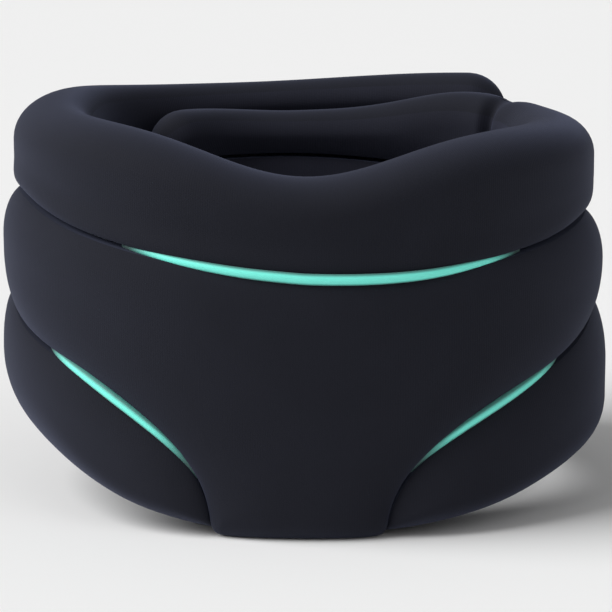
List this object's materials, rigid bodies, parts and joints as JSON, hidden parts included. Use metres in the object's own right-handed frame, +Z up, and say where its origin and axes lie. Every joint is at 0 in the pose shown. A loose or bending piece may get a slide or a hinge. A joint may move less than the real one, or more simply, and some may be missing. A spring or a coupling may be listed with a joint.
{
  "type": "cervical collar",
  "caption": "Soft foam cervical collar of stacked padded rolls with a chin bib, wrapping the neck from an inner flap to an outer flap that overlap at the nape.",
  "frame": {"origin": "middle of the collar's outline seen from above, on the surface that it stands on", "axes": "+Z up towards the chin, -Y out of the front where the chin rests, +X to the right as seen from the front"},
  "size_m": [0.1736, 0.1682, 0.1128],
  "materials": {
    "outer_knit": "soft brushed fine knit, dark navy",
    "liner_knit": "smooth fine knit against the skin, dark navy",
    "foam": "open-cell polyurethane foam",
    "piping_mint": "satin mint piping",
    "hook_tape": "moulded nylon hooks on woven tape",
    "loop_tape": "brushed loop pile on woven tape"
  },
  "bodies": {
    "front": {"lower_cover_front_left": "outer_knit", "lower_cover_front_right": "outer_knit", "lower_foam_front_left": "foam", "lower_foam_front_right": "foam", "lower_liner_front_left": "liner_knit", "lower_liner_front_right": "liner_knit", "middle_cover_front": "outer_knit", "middle_foam_front": "foam", "middle_liner_front": "liner_knit", "piping_lower_left": "piping_mint", "piping_lower_right": "piping_mint", "piping_upper": "piping_mint", "upper_cover_front": "outer_knit", "upper_foam_front": "foam", "upper_liner_front": "liner_knit"},
    "left_side": {"lower_cover_left_side": "outer_knit", "lower_foam_left_side": "foam", "lower_liner_left_side": "liner_knit", "middle_cover_left_side": "outer_knit", "middle_foam_left_side": "foam", "middle_liner_left_side": "liner_knit", "upper_cover_left_side": "outer_knit", "upper_foam_left_side": "foam", "upper_liner_left_side": "liner_knit"},
    "left_end": {"hook_strip_lower": "hook_tape", "hook_strip_middle": "hook_tape", "lower_cover_left_end": "outer_knit", "lower_foam_left_end": "foam", "lower_liner_left_end": "liner_knit", "middle_cover_left_end": "outer_knit", "middle_foam_left_end": "foam", "middle_liner_left_end": "liner_knit", "upper_cover_left_end": "outer_knit", "upper_foam_left_end": "foam", "upper_liner_left_end": "liner_knit"},
    "right_side": {"lower_cover_right_side": "outer_knit", "lower_foam_right_side": "foam", "lower_liner_right_side": "liner_knit", "middle_cover_right_side": "outer_knit", "middle_foam_right_side": "foam", "middle_liner_right_side": "liner_knit", "upper_cover_right_side": "outer_knit", "upper_foam_right_side": "foam", "upper_liner_right_side": "liner_knit"},
    "right_end": {"loop_strip_lower": "loop_tape", "loop_strip_middle": "loop_tape", "lower_cover_right_end": "outer_knit", "lower_foam_right_end": "foam", "lower_liner_right_end": "liner_knit", "middle_cover_right_end": "outer_knit", "middle_foam_right_end": "foam", "middle_liner_right_end": "liner_knit", "upper_cover_right_end": "outer_knit", "upper_foam_right_end": "foam", "upper_liner_right_end": "liner_knit"}
  },
  "joints": [
    {"name": "left_side_flex", "type": "hinge", "parent": "front", "child": "left_side", "pos_m": [-0.08565, -0.02137, 0.055], "axis": [0, 0, 1], "range_deg": [0, 70], "stiffness_Nm_per_rad": 0.15},
    {"name": "outer_flap_peel", "type": "hinge", "parent": "left_side", "child": "left_end", "pos_m": [-0.07684, 0.04176, 0.055], "axis": [0, 0, 1], "range_deg": [0, 75], "stiffness_Nm_per_rad": 0.1},
    {"name": "right_side_flex", "type": "hinge", "parent": "front", "child": "right_side", "pos_m": [0.08619, -0.02079, 0.055], "axis": [0, 0, -1], "range_deg": [0, 35]},
    {"name": "inner_flap_flex", "type": "hinge", "parent": "right_side", "child": "right_end", "pos_m": [0.07267, 0.04381, 0.055], "axis": [0, 0, -1], "range_deg": [0, 35]}
  ],
  "couplings": [
    {"joint": "right_side_flex", "follows": "left_side_flex", "ratio": 0.5},
    {"joint": "inner_flap_flex", "follows": "left_side_flex", "ratio": 0.5}
  ]
}
